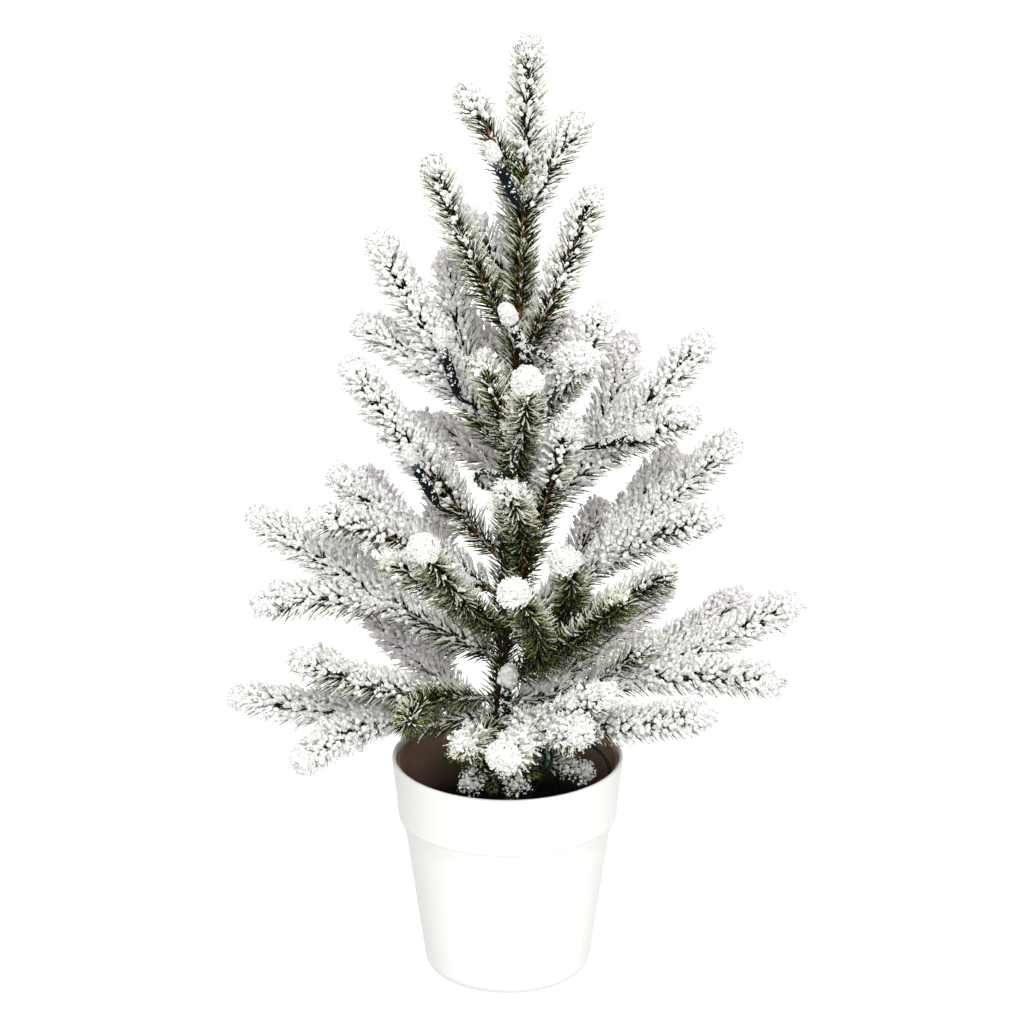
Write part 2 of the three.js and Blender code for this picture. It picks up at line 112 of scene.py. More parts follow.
# Each branch: how far its stem dips, then its tips as (x, y, z, flock), in millimetres. The first
# tip ends the main stem; a side sprig adds the share of the main stem at which it starts. Flock is
# how heavily it is flocked: 1 is thick all over, and below 0 hardly any of it caught.
# The same layout as the CAD frame.
BRANCHES = {
    "leader": (0, [(13, 0, 598, .54), (-29, -12, 569, .58, .36), (48, 12, 546, .60, .32)]),
    "branch_01": (14, [(-46, -14, 529, .52)]),
    "branch_02": (8, [(52, -12, 509, .56)]),
    "branch_03": (6, [(4, 52, 500, .50), (-30, 38, 478, .54, .35)]),
    "branch_04": (12, [(-79, -2, 478, .88), (-92, 22, 414, .94, .24), (-36, 50, 450, .62, .10)]),
    "branch_05": (12, [(60, -24, 439, .86), (45, -80, 426, .92, .20)]),
    "branch_06": (10, [(12, -90, 410, .40), (-18, -42, 417, .34, .22)]),
    "branch_07": (10, [(8, 88, 432, .62), (-38, 78, 400, .56, .35), (44, 72, 398, .56, .35)]),
    "branch_08": (8, [(-96, -22, 407, .82), (-55, 48, 345, .60, .20)]),
    "branch_09": (10, [(122, 8, 411, .88), (114, -32, 373, .70, .34), (73, 58, 394, .72, .30)]),
    "branch_10": (12, [(37, -52, 380, .68), (-2, -80, 344, .50, .20)]),
    "branch_11": (10, [(140, 8, 348, .82), (128, -34, 311, .74, .34), (102, 50, 322, .60, .34)]),
    "branch_12": (10, [(-107, -8, 331, .82), (-118, -54, 318, .76, .30)]),
    "branch_13": (10, [(10, 120, 348, .62), (-48, 104, 322, .62, .35), (62, 98, 318, .62, .35)]),
    "branch_14": (12, [(-157, 8, 299, .80), (-156, -16, 245, .78, .38), (-110, 60, 262, .62, .36)]),
    "branch_15": (10, [(-51, -108, 318, .46), (-76, -66, 296, .44, .35)]),
    "branch_16": (10, [(72, -108, 286, -.05), (4, -120, 293, .15, .22)]),
    "branch_17": (14, [(101, -44, 281, .36), (34, -80, 300, .20, .22)]),
    "branch_18": (10, [(100, 100, 292, .60), (58, 62, 286, .54, .25)]),
    "branch_19": (10, [(-92, 106, 290, .56), (-36, 130, 272, .50, .35)]),
    "branch_20": (18, [(-131, -50, 226, .60), (-57, -104, 203, -.12, .20)]),
    "branch_21": (10, [(-171, -8, 184, .90), (-126, -72, 164, .96, .34), (-120, 48, 188, .78, .34)]),
    "branch_22": (8, [(-27, -112, 192, .50)]),
    "branch_23": (10, [(46, -110, 200, .72), (-3, -132, 190, .70, .24), (64, -84, 218, .72, .34)]),
    "branch_24": (26, [(180, 8, 242, .90), (167, -44, 206, .86, .36), (147, 54, 226, .76, .34),
                       (92, -6, 222, .52, .22)]),
    "branch_25": (8, [(124, -82, 202, .84)]),
    "branch_26": (12, [(102, 114, 210, .62), (40, 140, 196, .60, .35)]),
    "branch_27": (12, [(-96, 114, 204, .60), (-30, 134, 186, .56, .35)]),
}
TRUNK_FOOT = np.array([-12, 0, 20]) / 1000
TRUNK_TOP = np.array([7, 0, 419]) / 1000

# Sprigs that end in a ball of packed flock, and how far it sits towards +X and above the end.
SNOWBALLS = {("branch_06", 0): (.0005, .0075), ("branch_15", 0): (-.0005, .0015),
             ("branch_16", 1): (-.0030, .0028), ("branch_17", 1): (-.0020, .0010),
             ("branch_23", 1): (-.0030, .0020)}
# Sprigs with an open spot that shows the stem's tape, and the share of the length it is at.
OPEN_SPOTS = {("leader", 1): .64, ("branch_17", 0): .74}
# Short twigs low on the trunk: height of the foot, tip, how heavily flocked.
LOW_TWIGS = [(.136, (-.0258, -.0470, .1362), .62), (.132, (.0081, -.0500, .1372), .55),
             (.138, (.0540, -.0130, .1310), .70), (.144, (-.0400, -.0300, .1500), -.3),
             (.134, (-.0100, -.0420, .1320), -.3), (.138, (.0200, -.0380, .1400), -.3),
             (.136, (-.0300, -.0200, .1360), -.3), (.130, (.0040, -.0300, .1200), -.3)]
# How heavily the lights that the front shows are flocked.
FLOCKED_LIGHTS = {"light_1": .50, "light_2": .75, "light_3": 1.0, "light_4": .60, "light_5": 1.1,
                  "light_6": .75}
CLUMP_SCALE = {"light_1": 1.15, "light_3": 1.2, "light_6": 1.35}   # of the flock on a lamp's end
SNOWBALL_R = 0.0088
# A snowball's merged balls in units of its radius: across, ahead, towards the blow, radius.
SNOWBALL_PARTS = [(0, 0, 0, .74), (-.52, -.10, -.10, .56), (.54, 0, -.06, .54), (-.22, .34, .30, .50),
                  (.30, .28, .22, .48), (.06, -.55, .20, .56), (-.62, .05, -.46, .40),
                  (.66, .02, -.42, .38), (.10, .40, -.30, .50)]

# Routes of the free cords, the same points as the CAD frame's.
CORD_ROUTES = {
    "battery_lead": [
        (.008, -.02, .0976), (.008, -.0201, .102), (.0079, -.0208, .108), (.0078, -.0218, .114),
        (.0082, -.0226, .12), (.0104, -.0231, .1256), (.0138, -.0232, .1306), (.0174, -.0227, .1352),
        (.0208, -.0213, .1398), (.023, -.0184, .144), (.0224, -.014, .1472), (.0184, -.0104, .1488),
        (.0126, -.0078, .1494), (.0064, -.0056, .1492),
    ],
    "battery_lead_2": [
        (.011, -.02, .0976), (.011, -.0201, .102), (.0109, -.0207, .108), (.0109, -.0216, .114),
        (.0115, -.0222, .119), (.0138, -.0226, .124), (.017, -.0226, .1288), (.0206, -.0222, .1334),
        (.0242, -.0208, .1384), (.0268, -.0174, .1436), (.026, -.0118, .1484), (.0206, -.0074, .1512),
        (.0136, -.005, .1523), (.0066, -.0034, .152),
    ],
    "slack_loop": [
        (.0012, .0078, .1492), (.007, .009, .1514), (.015, .0096, .1528), (.025, .0086, .153),
        (.037, .005, .1516), (.048, .0005, .149), (.0565, -.0035, .1445), (.0614, -.0065, .1385),
        (.0626, -.0085, .131), (.0612, -.0095, .121), (.0586, -.009, .11), (.0556, -.007, .098),
        (.0522, -.0035, .084), (.0488, .001, .069), (.045, .0065, .0555), (.0414, .013, .046),
        (.0374, .02, .0414), (.0326, .0255, .0402), (.027, .028, .0402), (.0214, .0266, .0416),
        (.0186, .022, .0464), (.0194, .017, .056), (.022, .0136, .068), (.0248, .0114, .082),
        (.0274, .01, .096), (.0294, .009, .109), (.0304, .0074, .121), (.0296, .0054, .132),
        (.0262, .0034, .141), (.02, .0022, .1466), (.011, .001, .1486), (.0036, .0004, .1484),
    ],
}

# A loop of the light string that stands out from the trunk between two branches.
STRING_RUN = [
    (.0062, -.0040, .4080), (.0150, -.0200, .4100), (.0270, -.0400, .4070), (.0300, -.0530, .3990),
    (.0230, -.0580, .3890), (.0145, -.0600, .3790), (.0068, -.0610, .3700), (.0040, -.0580, .3580),
    (.0030, -.0530, .3470), (-.0060, -.0500, .3425), (-.0150, -.0470, .3430), (-.0186, -.0430, .3385),
    (-.0165, -.0360, .3310), (-.0110, -.0220, .3240), (-.0030, -.0060, .3200),
]

# ---------------------------------------------------------------- camera


def make_camera():
    data = bpy.data.cameras.new("camera")
    data.sensor_width = 36
    data.lens = CAMERA_LENS
    data.clip_end = 50
    camera = add_object("camera", data)
    back = CAMERA_DISTANCE * math.cos(CAMERA_ELEVATION)
    rise = CAMERA_DISTANCE * math.sin(CAMERA_ELEVATION)
    camera.location = (CAMERA_AIM[0], CAMERA_AIM[1] - back, CAMERA_AIM[2] + rise)
    camera.rotation_euler = (math.pi / 2 - CAMERA_ELEVATION, 0, 0)
    bpy.context.scene.camera = camera


make_camera()

# ---------------------------------------------------------------- materials


class Nodes:
    """Adds nodes to a tree by their names; constants go straight on their sockets."""

    def __init__(self, tree):
        self.tree = tree

    def node(self, kind, links=(), **settings):
        made = self.tree.nodes.new(kind)
        for key, value in settings.items():
            if key in made.inputs:
                made.inputs[key].default_value = value
            else:
                setattr(made, key, value)
        for socket, source in dict(links).items():
            self.tree.links.new(source, made.inputs[socket])
        return made

    def feed(self, socket, value):
        """Links an output to a socket, or puts a number or a colour on it."""
        if isinstance(value, bpy.types.NodeSocket):
            self.tree.links.new(value, socket)
        else:
            socket.default_value = (*value, 1) if isinstance(value, tuple) else value

    def math(self, operation, *values):
        made = self.node("ShaderNodeMath", operation=operation)
        for socket, value in zip(made.inputs, values):
            self.feed(socket, value)
        return made.outputs[0]

    def dot(self, vector, constant):
        made = self.node("ShaderNodeVectorMath", {0: vector}, operation="DOT_PRODUCT")
        made.inputs[1].default_value = constant
        return made.outputs["Value"]

    def part(self, vector, axis):
        return self.node("ShaderNodeSeparateXYZ", {0: vector}).outputs[axis]


class Paint(Nodes):
    """A Principled material and what its procedural looks are made with."""

    def __init__(self, name, **sockets):
        self.material = bpy.data.materials.new(name)
        self.material.use_nodes = True
        super().__init__(self.material.node_tree)
        self.shader = self.tree.nodes["Principled BSDF"]
        for socket, value in sockets.items():
            self.shader.inputs[socket.replace("_", " ")].default_value = value

    def place(self, scale=(1, 1, 1)):
        spot = self.node("ShaderNodeTexCoord").outputs["Object"]
        mapping = self.node("ShaderNodeMapping", {"Vector": spot})
        mapping.inputs["Scale"].default_value = scale
        return mapping.outputs["Vector"]

    def noise(self, scale, detail=2.0, stretch=(1, 1, 1)):
        links = {"Vector": self.place(stretch)}
        made = self.node("ShaderNodeTexNoise", links, Scale=scale, Detail=detail)
        return made.outputs["Fac"]

    def ramp(self, factor, *stops):
        """Colours or greys along a factor; each stop is (position, colour)."""
        made = self.node("ShaderNodeValToRGB", {"Fac": factor})
        elements = made.color_ramp.elements
        while len(elements) < len(stops):
            elements.new(0.5)
        for element, (position, colour) in zip(elements, stops):
            element.position = position
            grey = isinstance(colour, (int, float))
            element.color = (colour, colour, colour, 1) if grey else (*colour, 1)
        return made.outputs["Color"]

    def mottle(self, tones, *noise):
        """Two tones, one fading into the other by noise of a scale, detail and stretch."""
        return self.ramp(self.noise(*noise), (0.3, tones[0]), (0.7, tones[1]))

    def mix(self, factor, first, second, blend="MIX"):
        made = self.node("ShaderNodeMix", data_type="RGBA", blend_type=blend)
        for socket, value in ((0, factor), (6, first), (7, second)):
            self.feed(made.inputs[socket], value)
        return made.outputs[2]

    def attribute(self, name):
        return self.node("ShaderNodeAttribute", attribute_name=name).outputs["Fac"]

    def each_piece(self):
        return self.node("ShaderNodeNewGeometry").outputs["Random Per Island"]

    def facing_snow(self):
        """1 where the surface faces the side that the flock was blown on from, -1 behind."""
        return self.dot(self.node("ShaderNodeNewGeometry").outputs["Normal"], SNOW_FROM)

    def colour(self, source):
        self.tree.links.new(source, self.shader.inputs["Base Color"])
        return self

    def rough(self, source):
        self.tree.links.new(source, self.shader.inputs["Roughness"])
        return self

    def bump(self, height, strength, distance):
        made = self.node("ShaderNodeBump", {"Height": height}, Strength=strength, Distance=distance)
        self.tree.links.new(made.outputs["Normal"], self.shader.inputs["Normal"])
        return self


def flock_paint():
    """Blown-on flock: matte fibre, olive where it lies thin, with painted mauve-grey shade towards the tree's
    back.
    """
    p = Paint("flock", Roughness=1.0, Specular_IOR_Level=0.0, Subsurface_Weight=0.55,
              Subsurface_Scale=0.0018, Subsurface_Radius=(1.1, 1, 0.95))
    bright = p.mottle(((.895, .873, .852), (.955, .953, .918)), 420, 2)
    thin = p.mottle(((.43, .445, .235), (.85, .855, .69)), 300)
    # painted shade: towards the tree's back (+Y) the flock is mixed to a darker mauve-grey, as if the front light
    # fell off there
    back = p.mottle(((.72, .625, .650), (.92, .855, .875)), 160)
    depth = p.part(p.place(), "Y")
    behind = p.ramp(p.math("MULTIPLY_ADD", depth, 10.0, 0.3), (0.40, 0.0), (0.90, 0.68))
    base = p.mix(behind, p.mix(p.attribute("thin"), bright, thin), back)
    specks = p.ramp(p.noise(1300, 2), (0.64, 0.0), (0.74, 0.45))
    p.colour(p.mix(specks, base, (.42, .42, .31)))
    return p.bump(p.noise(1700, 4), 0.9, 0.0006).material


def needle_paint():
    """Moulded needles, olive to deep green with painted shade darkening them at the foot, frosted by their
    "frost".
    """
    p = Paint("needle", Roughness=0.6, Specular_IOR_Level=0.04)
    green = p.ramp(p.each_piece(), (0.0, (.0015, .004, .001)), (0.55, (.012, .026, .002)),
                   (0.84, (.070, .100, .008)), (1.0, (.230, .260, .035)))
    # painted shade: each needle is darkened towards its foot, by how far along it a point lies, where the inside
    # of a sprig is in shade
    inner = p.ramp(p.attribute("reach"), (0.15, 0.22), (0.60, 1.0))
    green = p.mix(1.0, green, inner, "MULTIPLY")
    cover = p.math("MULTIPLY_ADD", p.facing_snow(), 0.40, p.attribute("frost"))
    cover = p.math("MULTIPLY_ADD", p.noise(900, 3), 0.9, cover)
    frosted = p.ramp(cover, (0.80, 0.0), (1.05, 0.95))
    p.colour(p.mix(frosted, green, (.82, .83, .66)))
    return p.bump(p.noise(2500), 0.35, 0.0003).material


def stem_paint():
    """The orange-brown tape of the stems, dusted with flock on the side it was blown from."""
    p = Paint("stem", Roughness=0.75, Specular_IOR_Level=0.05)
    tape = p.mottle(((.060, .026, .010), (.36, .140, .040)), 300, 4)
    cover = p.math("MULTIPLY_ADD", p.facing_snow(), 0.25, p.noise(260, 4))
    p.colour(p.mix(p.ramp(cover, (0.56, 0.0), (0.68, 0.92)), tape, (.74, .73, .68)))
    return p.bump(p.noise(900, 2, (1, 1, 4)), 0.5, 0.0004).material


def trunk_paint():
    """Brown paper tape wound round the rod, darker in patches."""
    p = Paint("trunk_tape", Roughness=0.85, Specular_IOR_Level=0.05)
    p.colour(p.ramp(p.noise(220, 5), (0.3, (.008, .006, .004)), (0.75, (.060, .034, .018))))
    return p.bump(p.noise(700, 4, (1, 1, 6)), 0.6, 0.0006).material


def pot_paint():
    """White moulded plastic with a satin skin."""
    p = Paint("pot_white", Specular_IOR_Level=0.35)
    p.colour(p.mottle(((.696, .694, .672), (.716, .714, .692)), 9, 3))
    p.rough(p.mottle((0.34, 0.44), 60, 3))
    return p.bump(p.noise(420, 2), 0.10, 0.0003).material


def liner_paint():
    """Brown plastic liner, scuffed lighter in places, with painted shade darkening it towards its foot."""
    p = Paint("liner_brown", Specular_IOR_Level=0.12)
    brown = p.ramp(p.noise(28, 5), (0.3, (.200, .118, .082)), (0.75, (.310, .205, .155)))
    # painted shade: below the rim the liner's colour goes down to near black by seven tenths of its height, where
    # the inside of the pot is in shade
    height = p.part(p.place(), "Z")
    deep = p.ramp(p.math("MULTIPLY", height, 1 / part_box("pot_liner")[1].z), (0.70, 0.02), (0.97, 1.0))
    p.colour(p.mix(1.0, brown, deep, "MULTIPLY"))
    p.rough(p.mottle((0.45, 0.65), 90, 3))
    return p.bump(p.noise(260, 3), 0.2, 0.0004).material


def cement_paint():
    """Poured cement: grey, pitted, with darker damp patches."""
    p = Paint("cement_grey", Roughness=0.95)
    base = p.mottle(((.18, .17, .155), (.36, .34, .31)), 60, 6)
    pits = p.ramp(p.noise(900, 2), (0.38, 0.35), (0.46, 1.0))
    p.colour(p.mix(1.0, base, pits, "MULTIPLY"))
    return p.bump(p.noise(500, 6), 0.8, 0.0015).material


def plastic_paint(name, dark, light, roughness, gloss=0.5):
    """Moulded plastic with a fine grain and a little variation in its tone."""
    p = Paint(name, Specular_IOR_Level=gloss)
    p.colour(p.mottle((dark, light), 70, 4))
    p.rough(p.mottle((roughness - 0.06, roughness + 0.08), 240, 2))
    return p.bump(p.noise(700, 2), 0.15, 0.0002).material


def lamp_paint():
    """Unlit lens of a mini light: smoky blue, hazed where flock dust clings to it."""
    p = Paint("lamp_smoky", Specular_IOR_Level=0.5, Coat_Weight=0.3, Coat_Roughness=0.2)
    p.colour(p.ramp(p.noise(900, 4), (0.54, (.008, .014, .022)), (0.70, (.24, .28, .33))))
    p.rough(p.mottle((0.25, 0.6), 700, 3))
    return p.bump(p.noise(1400, 3), 0.3, 0.0003).material


def contact_paint():
    """Drawn steel with fine lengthwise scratches."""
    p = Paint("contact_steel", Metallic=1.0)
    lengthwise = (1, 1, .05)
    p.colour(p.mottle(((.55, .55, .56), (.75, .75, .76)), 900, 4, lengthwise))
    p.rough(p.mottle((0.2, 0.35), 1200, 3, lengthwise))
    return p.bump(p.noise(1800, 2, lengthwise), 0.1, 0.0001).material


def cell_paint():
    """Battery sleeve: dark body with a plain copper-coloured band at one end."""
    p = Paint("cell_sleeve", Roughness=0.32, Metallic=0.6)
    height = p.part(p.place(), "Z")
    low, high = (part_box("battery_cell_1")[k].z for k in (0, 1))
    share = p.math("DIVIDE", p.math("SUBTRACT", height, low), high - low)
    band = p.ramp(share, (0.70, (.030, .032, .036)), (0.71, (.48, .25, .12)))
    p.colour(p.mix(p.ramp(p.noise(500, 3), (0.35, 0.0), (0.65, 0.25)), band, (.20, .20, .20)))
    return p.bump(p.noise(900, 2), 0.05, 0.0001).material


FLOCK = flock_paint()
NEEDLE = needle_paint()
STEM = stem_paint()
WIRE = plastic_paint("wire_green", (.002, .010, .007), (.006, .024, .014), 0.42, 0.15)
HUSK = plastic_paint("husk_green", (.001, .003, .005), (.004, .010, .014), 0.45, 0.06)
BOX = plastic_paint("box_black", (.010, .011, .012), (.022, .024, .026), 0.42)
LAMP = lamp_paint()

# ---------------------------------------------------------------- shape helpers


def around(turn, side, third):
    """Directions at angles round a line, from its side towards its third direction."""
    return np.cos(turn)[..., None] * side + np.sin(turn)[..., None] * third


def set_values(made, label, values):
    """One number per vertex of a piece, for its material to read."""
    layer = made.data.attributes.new(label, "FLOAT", "POINT")
    layer.data.foreach_set("value", values.astype(np.float32))


def piece(name, verts, faces, paint, body, slot, stands_for=()):
    """A smooth-shaded mesh riding on a body; faces is a list of arrays of triangles or quads."""
    blocks = [np.asarray(block, np.int32) for block in faces if len(block)]
    totals = np.concatenate([np.full(len(b), b.shape[1], np.int32) for b in blocks])
    data = bpy.data.meshes.new(name)
    data.vertices.add(len(verts))
    data.vertices.foreach_set("co", np.asarray(verts, np.float32).ravel())
    data.loops.add(int(totals.sum()))
    data.loops.foreach_set("vertex_index", np.concatenate([b.ravel() for b in blocks]))
    data.polygons.add(len(totals))
    data.polygons.foreach_set("loop_start", np.concatenate([[0], np.cumsum(totals)[:-1]]))
    data.polygons.foreach_set("loop_total", totals)
    data.polygons.foreach_set("use_smooth", np.ones(len(totals), bool))
    data.update(calc_edges=True)
    data.materials.append(paint)
    made = add_object(name, data)
    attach(made, body)
    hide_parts(*stands_for)
    return made


class Line:
    """A line through points close together, with a frame that doesn't twist along it."""

    def __init__(self, points):
        self.points = np.array(points, float)
        steps = np.linalg.norm(np.diff(self.points, axis=0), axis=1)
        self.at = np.concatenate([[0], np.cumsum(steps)])
        self.length = self.at[-1]
        self.along = unit(np.gradient(self.points, self.at, axis=0))
        first = np.cross(self.along[0], [0.3, 1, 0.2])
        sides = [unit(first)]
        for direction in self.along[1:]:
            side = sides[-1] - direction * np.dot(sides[-1], direction)
            sides.append(unit(side))
        self.side = np.array(sides)

    def sample(self, distance):
        """Points, directions, sides and third directions at distances from the start."""
        def read(rows):
            return np.stack([np.interp(distance, self.at, rows[:, k]) for k in range(3)], -1)

        along, side = unit(read(self.along)), unit(read(self.side))
        return read(self.points), along, side, np.cross(along, side)


def bezier(start, middle, end, count=48):
    t = np.linspace(0, 1, count)[:, None]
    return (1 - t) ** 2 * start + 2 * t * (1 - t) * middle + t ** 2 * end


def smooth_points(points, per_span=8):
    """Centripetal Catmull-Rom points through a route, as the CAD frame's tubes follow it."""
    p = np.array(points, float)
    p = np.vstack([2 * p[0] - p[1], p, 2 * p[-1] - p[-2]])
    out = []
    for i in range(1, len(p) - 2):
        a, b, c, d = p[i - 1:i + 3]
        gap = [math.sqrt(np.linalg.norm(y - x)) for x, y in ((a, b), (b, c), (c, d))]
        leave = (b - a) / gap[0] - (c - a) / (gap[0] + gap[1]) + (c - b) / gap[1]
        reach = (c - b) / gap[1] - (d - b) / (gap[1] + gap[2]) + (d - c) / gap[2]
        leave, reach = leave * gap[1], reach * gap[1]
        for t in np.arange(per_span) / per_span:
            out.append((2 * t ** 3 - 3 * t ** 2 + 1) * b + (t ** 3 - 2 * t ** 2 + t) * leave
                       + (3 * t ** 2 - 2 * t ** 3) * c + (t ** 3 - t ** 2) * reach)
    return np.array(out + [p[-2]])


def ring_faces(rings, sides):
    """Quads between rings of points, and the triangles to the two end points that come last."""
    grid = np.arange(rings * sides).reshape(-1, sides)
    after = np.roll(grid, -1, axis=1)
    quads = np.stack([grid[:-1], after[:-1], after[1:], grid[1:]], -1).reshape(-1, 4)
    first = np.full(sides, rings * sides)
    start = np.stack([first, after[0], grid[0]], 1)
    end = np.stack([first + 1, grid[-1], after[-1]], 1)
    return [quads, np.vstack([start, end])]


def tube(points, radius, sides, steps=None):
    """A closed tube along points; radius is a number or a function of the share of the length."""
    line = Line(points)
    shares = np.linspace(0, 1, steps or len(line.points))
    centre, _, side, third = line.sample(shares * line.length)
    size = np.array([radius(s) if callable(radius) else radius for s in shares])
    turn = 2 * np.pi * np.arange(sides) / sides
    spokes = around(turn[None], side[:, None], third[:, None])
    verts = (centre[:, None] + spokes * size[:, None, None]).reshape(-1, 3)
    return np.vstack([verts, centre[0], centre[-1]]), ring_faces(len(shares), sides)


def lathe(profile, sides):
    """A solid turned about Z; the profile's (radius, height) points start and end on the axis."""
    turn = 2 * np.pi * np.arange(sides) / sides
    body = np.array(profile[1:-1])
    x = body[:, :1] * np.cos(turn)
    y = body[:, :1] * np.sin(turn)
    z = np.repeat(body[:, 1:], sides, 1)
    verts = np.vstack([np.stack([x, y, z], -1).reshape(-1, 3),
                       (0, 0, profile[0][1]), (0, 0, profile[-1][1])])
    return verts, ring_faces(len(body), sides)


def joined(shapes):
    """Several (verts, faces) as one."""
    verts, faces, count = [], [], 0
    for points, blocks in shapes:
        verts.append(points)
        faces += [np.asarray(block) + count for block in blocks if len(block)]
        count += len(points)
    return np.vstack(verts), faces


def stood(shape, foot, direction):
    """A shape made up +Z from the origin, stood at foot and turned to a direction."""
    verts, faces = shape
    up = unit(np.array(direction, float))
    side = unit(np.cross(up, [0.12, 1.0, 0.05]))
    frame_rows = np.array([side, np.cross(up, side), up])
    return np.asarray(verts) @ frame_rows + foot, faces


def stamped(shape, axes, sizes, places):
    """Copies of one triangle shape: axes are rows side, up, along; sizes scale the three."""
    verts, faces = shape
    moved = np.einsum("nvk,nkj->nvj", verts[None] * sizes[:, None], axes) + places[:, None]
    shift = (np.arange(len(places)) * len(verts))[:, None, None]
    return moved.reshape(-1, 3), [(faces[None] + shift).reshape(-1, 3)]


def ball(subdivisions, roughness, count):
    """Several lumpy unit balls, each a little different."""
    grid = bmesh.new()
    bmesh.ops.create_icosphere(grid, subdivisions=subdivisions, radius=1)
    verts = np.array([v.co for v in grid.verts])
    faces = np.array([[v.index for v in f.verts] for f in grid.faces])
    grid.free()
    return [(verts * (1 + roughness * rng.uniform(-1, 1, (len(verts), 1))), faces)
            for _ in range(count)]


def fluffy(shape):
    """A finely divided ball, swollen here and there into soft lumps."""
    verts, faces = shape
    phase = rng.uniform(0, 6, 3)
    swell = sum(np.sin(k * verts[:, a] + phase[a] + 1.7 * np.sin(k * 0.7 * verts[:, b]))
                for a, b in ((0, 1), (1, 2), (2, 0)) for k in (3.1, 7.3))
    return verts * (1 + 0.055 * swell[:, None]), faces


def needle_shape():
    """A flattened four-sided needle, one long, that bends forward and narrows to a point."""
    rings = [(0.0, 0.42), (0.3, 0.50), (0.72, 0.42)]
    verts = []
    for z, r in rings:
        bend = 0.07 * z * z
        verts += [(r, bend, z), (0, bend + 0.8 * r, z), (-r, bend, z), (0, bend - 0.8 * r, z)]
    verts += [(0, 0.07, 1.0)]
    tip = len(verts) - 1
    faces = [(0, 2, 1), (0, 3, 2)]
    for ring in range(len(rings) - 1):
        for k in range(4):
            a, b = ring * 4 + k, ring * 4 + (k + 1) % 4
            faces += [(a, b, b + 4), (a, b + 4, a + 4)]
    last = (len(rings) - 1) * 4
    faces += [(last + k, last + (k + 1) % 4, tip) for k in range(4)]
    return np.array(verts, float), np.array(faces)


LUMPY_COAT = [(0.40, 0.35), (0.53, 0.72), (0.66, 1.05), (0.80, 1.15), (0.93, 0.95), (1.03, 0.45)]
SLIM_COAT = [(0.32, 0.45), (0.46, 0.85), (0.66, 1.00), (0.88, 0.90), (1.01, 0.45)]


def coat_shape(outline, unevenness, sides):
    """A sleeve of flock on the outer part of a needle, which is one long."""
    turn = 2 * np.pi * np.arange(sides) / sides
    verts = []
    for z, r in outline:
        size = r * rng.uniform(1 - unevenness, 1 + unevenness, sides)
        height = z + rng.uniform(-0.03, 0.03, sides)
        verts.append(np.stack([size * np.cos(turn), size * np.sin(turn), height], 1))
    ends = [(0, 0, outline[0][0] - 0.04), (0, 0, outline[-1][0] + 0.04)]
    quads, fans = ring_faces(len(outline), sides)
    return np.vstack(verts + [ends]), np.vstack([quads[:, [0, 1, 2]], quads[:, [0, 2, 3]], fans])


NEEDLE_SHAPE = needle_shape()
SLIM_COATS = [coat_shape(SLIM_COAT, 0.18, 5) for _ in range(10)]
LUMPY_COATS = [coat_shape(LUMPY_COAT, 0.34, 6) for _ in range(16)]
BALLS = [fluffy(shape) for shape in ball(3, 0.03, 6)]
LUMPS = ball(2, 0.18, 10)
CRUMBS = ball(1, 0.28, 14)

# Layers of grains on a sprig's end: shapes, how many on a heavily flocked one, radius, depth.
CAP_LAYERS = [(LUMPS, 24, 0.0014, 0.0066), (CRUMBS, 130, 0.0009, 0.0084), (CRUMBS, 300, 0.0005, 0.0094)]
# And on a snowball: shapes, how many, radius, depth in its radius, how much they must face the blow.
SNOWBALL_LAYERS = [(CRUMBS, 520, 0.0009, 0.98, 0.0), (LUMPS, 90, 0.0017, 0.86, -0.5),
                   (CRUMBS, 380, 0.0006, 1.10, -0.3)]

# ---------------------------------------------------------------- cords


def curve_piece(name, points, *nodes):
    """A round wire as a curve of one open spline, in place of its CAD tube if it has one."""
    data = bpy.data.curves.new(name, "CURVE")
    data.dimensions = "3D"
    data.bevel_depth = WIRE_D / 2
    data.bevel_resolution = 4
    data.use_fill_caps = True
    spline = data.splines.new("POLY")
    spline.points.add(len(points) - 1)
    spline.points.foreach_set("co", np.c_[points, np.ones(len(points))].ravel())
    data.materials.append(WIRE)
    made = add_object(name, data)
    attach(made, "root")
    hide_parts(*nodes)
    return made


def make_cords():
    for node, route in CORD_ROUTES.items():
        points = smooth_points(route)
        wire = curve_piece(f"{node}_wire", points, node)


make_cords()

# ---------------------------------------------------------------- foliage


def smoothstep(low, high, x):
    t = np.clip((x - low) / (high - low), 0, 1)
    return t * t * (3 - 2 * t)


def clumps(p):
    """A lumpy value from -1.5 to 1.5 at points, its lumps about half a centimetre across."""
    x, y, z = (p[:, k] * 2 * np.pi for k in range(3))
    return (np.sin(171 * x + 2.0 * np.sin(97 * y)) + np.sin(163 * z + 1.8 * np.sin(103 * x))
            + np.sin(179 * y + 2.2 * np.sin(91 * z))) / 2


def patches(p):
    """A smooth value from -1 to 1 at points, its patches a few centimetres across."""
    x, y, z = (p[:, k] * 2 * np.pi for k in range(3))
    return (np.sin(31 * x + 2.1 * np.sin(23 * z)) + np.sin(37 * z + 1.7 * np.sin(29 * y))
            + np.sin(33 * y + 1.9 * np.sin(27 * x))) / 3


def shelter(p):
    """1 deep inside the tree, where little flock came, and 0 in its outer part."""
    crown = np.maximum(0.012, 0.42 * (0.56 - p[:, 2]))
    return 1 - smoothstep(0.15, 0.62, np.hypot(p[:, 0], p[:, 1]) / crown)


